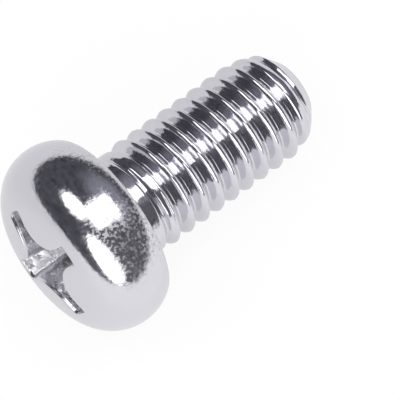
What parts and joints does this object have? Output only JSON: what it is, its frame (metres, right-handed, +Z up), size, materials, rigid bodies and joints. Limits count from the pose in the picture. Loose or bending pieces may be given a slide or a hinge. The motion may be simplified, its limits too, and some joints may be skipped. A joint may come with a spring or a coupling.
{
  "type": "machine screw",
  "caption": "Short metal machine screw with a domed pan head, a cross recess, a right-hand coarse thread nearly up to the head and a chamfered tip.",
  "frame": {"origin": "on the surface that the screw lies on, under the middle of its bounding box", "axes": "+Z up from that surface; +X along the lying screw from head to tip, level, with the screw's own axis 11.2 degrees below it; +Y completes the right-handed frame"},
  "size_m": [0.0086, 0.0052, 0.0052],
  "materials": {
    "nickel_plate": "bright nickel plating"
  },
  "bodies": {
    "root": {"pan_head_screw": "nickel_plate"}
  },
  "joints": []
}
